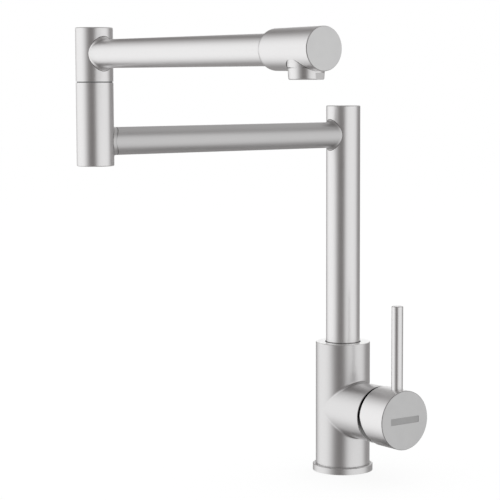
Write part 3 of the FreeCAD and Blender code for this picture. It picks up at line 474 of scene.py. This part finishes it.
def thread_shank(material):
    """The shank under the body with its outside thread, in place of the plain CAD ring."""
    lowest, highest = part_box("threaded_shank")
    radius = highest.x
    shank = make_shank_blank(radius, lowest.z, highest.z)
    shank.name = "shank_with_thread"
    screw = wind_screw(radius - THREAD_DEPTH, lowest.z - THREAD_PITCH, highest.z + THREAD_PITCH)
    deselect()
    shank.select_set(True)
    bpy.context.view_layer.objects.active = shank
    cutting = shank.modifiers.new("cutting", "BOOLEAN")
    cutting.operation = "INTERSECT"
    cutting.solver = "MANIFOLD"
    cutting.object = screw
    bpy.ops.object.modifier_apply(modifier="cutting")
    bpy.data.objects.remove(screw)
    bpy.ops.object.mode_set(mode="EDIT")
    close_and_turn_outwards()
    bpy.ops.object.shade_smooth_by_angle(angle=SMOOTH_ANGLE)
    shank.data.materials.clear()
    shank.data.materials.append(material)
    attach(shank, "tap_body")
    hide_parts("threaded_shank")


def finish_steel():
    """The satin steel of all that shows, with its faces, thin painted shade lines in creases and
    hollows, painted shadows and painted light in the gaps, a painted highlight on the body's top,
    and painted shade darkening the body and lower arm.
    """
    paint(satin_steel("satin_steel_upright", "z"),
          "elbow_lower_post", "elbow_upper_post", "column_top_cap", "elbow_top_cap",
          "elbow_bottom_cap", "lever_rod", "aerator_housing")
    paint(satin_steel("satin_steel_column", "z", marks=[(column_foot_shade, CREASE_SHADE, 0.5)]), "column_tube")
    body_marks = [(branch_hollow_shade, CREASE_SHADE, 0.5), (body_top_highlight, TOP_HIGHLIGHT, 0.3), (branch_end_shadow, SHADE, 0.8),
                  (branch_end_low_light, GAP_LIGHT, 0.5), (column_mouth, SHADE, 0.8)]
    # The body and its base ring are darkened to 0.9 of the steel's colour as painted shade
    paint(satin_steel("satin_steel_body", "z", 0.32, 0.9, body_marks), "base_ring", "body_shell")
    lower_arm_marks = [(weld_crease_shade(COLUMN), CREASE_SHADE, 0.5), (weld_crease_shade(ELBOW), CREASE_SHADE, 0.5),
                       (bead_end_shade, CREASE_SHADE, 0.5)]
    # The lower arm is darkened to 0.75 of the steel's colour as painted shade
    paint(satin_steel("satin_steel_lower_arm", "y", 0.38, 0.75, lower_arm_marks),
          "lower_arm_tube")
    upper_arm_marks = [(weld_crease_shade(ELBOW), CREASE_SHADE, 0.5)]
    paint(satin_steel("satin_steel_upper_arm", "x", marks=upper_arm_marks), "upper_arm_tube")
    head_marks = [(head_face, HEAD_FACE, 0.38), (outlet_crease_shade, SHADE, 0.5)]
    paint(satin_steel("satin_steel_head", "x", marks=head_marks), "spout_head")
    drum_marks = [(drum_face, DRUM_FACE, 0.38), (sunk_bar, BAR_FACE, 0.5),
                  (drum_inside_shadow, SHADE, 0.8), (drum_inside_low_light, GAP_LIGHT, 0.6)]
    paint(satin_steel("satin_steel_drum", "x", marks=drum_marks), "handle_hub")


def finish_fittings():
    """The turned, moulded and ceramic pieces, most of them inside or under the deck."""
    turned = plain_finish("turned_steel", "9A9A98", "B4B4B2", 0.28, metallic=1.0, scale=900.0,
                          bump_strength=0.08, stretch=(0.1, 0.1, 1.0))
    paint(turned, "column_spigot", "elbow_spindle", "cartridge_spindle", "spindle_pivot_pin",
          "fixing_washer")
    thread_shank(turned)
    paint(plain_finish("machined_brass", "B08B45", "C8A35A", 0.32, metallic=1.0), "fixing_nut")
    paint(plain_finish("oiled_steel", "3A3A3C", "4C4C4F", 0.4, metallic=1.0),
          "elbow_circlip", "swivel_lock_screw", "hub_grub_screw", "cartridge_retaining_nut")
    paint(plain_finish("dome_steel", "6C6A6A", "7E7C7C", 0.45, metallic=1.0), "dome_cover")
    paint(plain_finish("black_rubber", "101010", "1C1C1C", 0.7),
          "base_gasket", "fixing_gasket", "swivel_thrust_washer", "swivel_o_rings",
          "elbow_o_rings", "cartridge_port_seals", "aerator_washer")
    paint(plain_finish("white_acetal", "D8D8D4", "E6E6E2", 0.45),
          "swivel_glide_rings", "elbow_bearing_bush", "elbow_glide_rings", "cartridge_base",
          "cartridge_housing", "cartridge_rotor", "disc_carrier")
    paint(plain_finish("grey_acetal", "6E7072", "7C7E80", 0.5),
          "aerator_insert", "hub_screw_plug", "elbow_thrust_washer")
    paint(plain_finish("lapped_ceramic", "E4E0D6", "F0EDE6", 0.2, coat=0.3),
          "ceramic_disc_fixed", "ceramic_disc_moving")


CAMERA_AZIMUTH = math.radians(51.38)
CAMERA_DISTANCE = 1.45968
CAMERA_HEIGHT = 0.32814
CAMERA_YAW = math.radians(3.03)
CAMERA_PITCH = math.radians(5.62)
CAMERA_ROLL = math.radians(-0.2)
CAMERA_NEAREST = 0.05
CAMERA_FARTHEST = 60.0
FOCAL_PIXELS = 1765.98
PICTURE_PIXELS = 500.0


def set_camera():
    """The photographer's camera: a long lens over the elbow's height, turned slightly down."""
    data = bpy.data.cameras.new("camera")
    data.lens = FOCAL_PIXELS * data.sensor_width / PICTURE_PIXELS
    data.clip_start = CAMERA_NEAREST
    data.clip_end = CAMERA_FARTHEST
    camera = bpy.data.objects.new("camera", data)
    bpy.context.collection.objects.link(camera)
    heading = CAMERA_AZIMUTH + CAMERA_YAW
    ahead = Vector((-math.sin(heading) * math.cos(CAMERA_PITCH),
                    math.cos(heading) * math.cos(CAMERA_PITCH), -math.sin(CAMERA_PITCH)))
    side = ahead.cross(Vector((0.0, 0.0, 1.0))).normalized()
    over = side.cross(ahead)
    side_rolled = side * math.cos(CAMERA_ROLL) + over * math.sin(CAMERA_ROLL)
    over_rolled = over * math.cos(CAMERA_ROLL) - side * math.sin(CAMERA_ROLL)
    turn = Matrix((side_rolled, over_rolled, -ahead)).transposed().to_4x4()
    spot = Vector((math.sin(CAMERA_AZIMUTH) * CAMERA_DISTANCE,
                   -math.cos(CAMERA_AZIMUTH) * CAMERA_DISTANCE, CAMERA_HEIGHT))
    camera.matrix_world = Matrix.Translation(spot) @ turn
    bpy.context.scene.camera = camera


CAMERA_SIDE = -38.6


def heading_and_rise(heading, rise):
    """The direction at a heading from the camera's side and a rise, in degrees."""
    around = math.radians(heading + CAMERA_SIDE)
    up = math.radians(rise)
    return Vector((math.cos(around) * math.cos(up), math.sin(around) * math.cos(up),
                   math.sin(up)))


TENT_RADIUS = 4.0
TENT_HEIGHT = 0.2
TENT_SEGMENTS = 96
TENT_RINGS = 48
TENT_SHADE = (0.20, 0.189, 0.186, 1.0)
TENT_GLOW = (1.10, 1.10, 1.10, 1.0)
TENT_LEAST = 0.10
# Heading from the camera's side and rise of each patch of the tent, its glow, and the cosines of
# the angles from its middle at which it fades out and at which it is full
PATCHES = (
    (-93.0, -2.0, 0.90, 0.40, 0.97),
    (58.0, -4.0, 0.76, 0.49, 0.90),
    (150.0, 45.0, 0.33, 0.70, 0.86),
    (150.0, -48.0, 0.15, 0.60, 0.90),
    (180.0, 9.0, 0.85, 0.955, 0.995),
    (-165.0, 26.0, -0.12, 0.90, 0.99),
    (-7.0, 0.0, -0.14, 0.90, 1.0),
)


def make_tent():
    """A tent round the studio, seen only in reflections, whose cloth is lit in soft patches."""
    deselect()
    bpy.ops.mesh.primitive_uv_sphere_add(segments=TENT_SEGMENTS, ring_count=TENT_RINGS,
                                         radius=TENT_RADIUS, location=(0.0, 0.0, TENT_HEIGHT))
    tent = bpy.context.active_object
    tent.name = "reflection_tent"
    for setting in ("camera", "diffuse", "transmission", "volume_scatter", "shadow"):
        setattr(tent, "visible_" + setting, False)
    material, tree, shader = new_finish("tent_cloth")
    place = place_on(tree)
    lit = TENT_LEAST
    for heading, rise, glow, fades, full in PATCHES:
        middle = heading_and_rise(heading, rise) / TENT_RADIUS
        facing = add_node(tree, "ShaderNodeVectorMath", {"operation": "DOT_PRODUCT"},
                          (place, middle), output="Value")
        lit = ramp(tree, facing, fades, full, 0.0, glow, "SMOOTHSTEP") + lit
    feed(tree, shader.inputs["Emission Color"], blend_colours(tree, lit, TENT_SHADE, TENT_GLOW))
    shader.inputs["Emission Strength"].default_value = 1.0
    shader.inputs["Base Color"].default_value = (0.0, 0.0, 0.0, 1.0)
    shader.inputs["Specular IOR Level"].default_value = 0.0
    tent.data.materials.append(material)


def seen_directly(tree):
    """1 for rays that look at the background, straight or in a reflection, and 0 for light."""
    path = tree.nodes.new("ShaderNodeLightPath")
    straight, mirrored, passed = [
        Wire(tree, path.outputs[name])
        for name in ("Is Camera Ray", "Is Glossy Ray", "Is Transmission Ray")]
    return straight.maths("MAXIMUM", mirrored.maths("MAXIMUM", passed))


WORLD_LIGHT = 0.8
WORLD_SEEN = 1.0


def make_world():
    """A white world, a little less bright as a lamp than to the eye."""
    world = bpy.data.worlds.new("studio")
    bpy.context.scene.world = world
    world.use_nodes = True
    tree = world.node_tree
    background = tree.nodes["Background"]
    background.inputs["Color"].default_value = (1.0, 1.0, 1.0, 1.0)
    feed(tree, background.inputs["Strength"],
         seen_directly(tree) * (WORLD_SEEN - WORLD_LIGHT) + WORLD_LIGHT)
    world.cycles.sampling_method = "NONE"


FLOOR_SIZE = 12.0
# The floor lies a hair under the ring, so that their faces don't meet
FLOOR_DROP = 0.05 * MM
FLOOR_COLOUR = (0.9, 0.9, 0.9, 1.0)
FLOOR_ROUGHNESS = 0.9
FLOOR_GLOW = 1.07
FLOOR_SELF_LIT = 0.8


def make_floor():
    """A plain pale floor that shows white and keeps a soft shadow."""
    deselect()
    bpy.ops.mesh.primitive_plane_add(size=FLOOR_SIZE, location=(0.0, 0.0, -FLOOR_DROP))
    floor = bpy.context.active_object
    floor.name = "floor"
    material, tree, shader = new_finish("pale_floor")
    shader.inputs["Base Color"].default_value = FLOOR_COLOUR
    shader.inputs["Roughness"].default_value = FLOOR_ROUGHNESS
    shader.inputs["Specular IOR Level"].default_value = 0.0
    glow = add_node(tree, "ShaderNodeEmission", {}, {"Strength": FLOOR_GLOW})
    lit = Wire(tree, shader.outputs["BSDF"])
    mixed = add_node(tree, "ShaderNodeMixShader", {},
                     (seen_directly(tree) * FLOOR_SELF_LIT, lit, glow))
    feed(tree, tree.nodes["Material Output"].inputs["Surface"], mixed)
    floor.data.materials.append(material)
    floor.visible_glossy = False


# Each soft lamp's name, its heading from the camera's side and rise, its distance, width and
# height, and its glow
LAMPS = (
    ("left_softbox", -95.0, 8.0, 2.2, 1.5, 1.8, 0.25),
    ("top_softbox", 150.0, 68.0, 2.4, 1.6, 1.6, 0.5),
)


def hang_lamps():
    """The soft lamps, each turned to face the tap."""
    for name, heading, rise, distance, width, height, glow in LAMPS:
        data = bpy.data.lights.new(name, "AREA")
        data.shape = "RECTANGLE"
        data.size = width
        data.size_y = height
        data.energy = glow * math.pi * width * height
        lamp = bpy.data.objects.new(name, data)
        bpy.context.collection.objects.link(lamp)
        out = heading_and_rise(heading, rise)
        lamp.location = Vector((0.0, 0.0, TENT_HEIGHT)) + out * distance
        lamp.rotation_euler = (-out).to_track_quat("-Z", "Y").to_euler()
        lamp.visible_glossy = False


bpy.context.scene.view_settings.view_transform = "Standard"
finish_steel()
finish_fittings()
set_camera()
make_tent()
make_world()
make_floor()
hang_lamps()
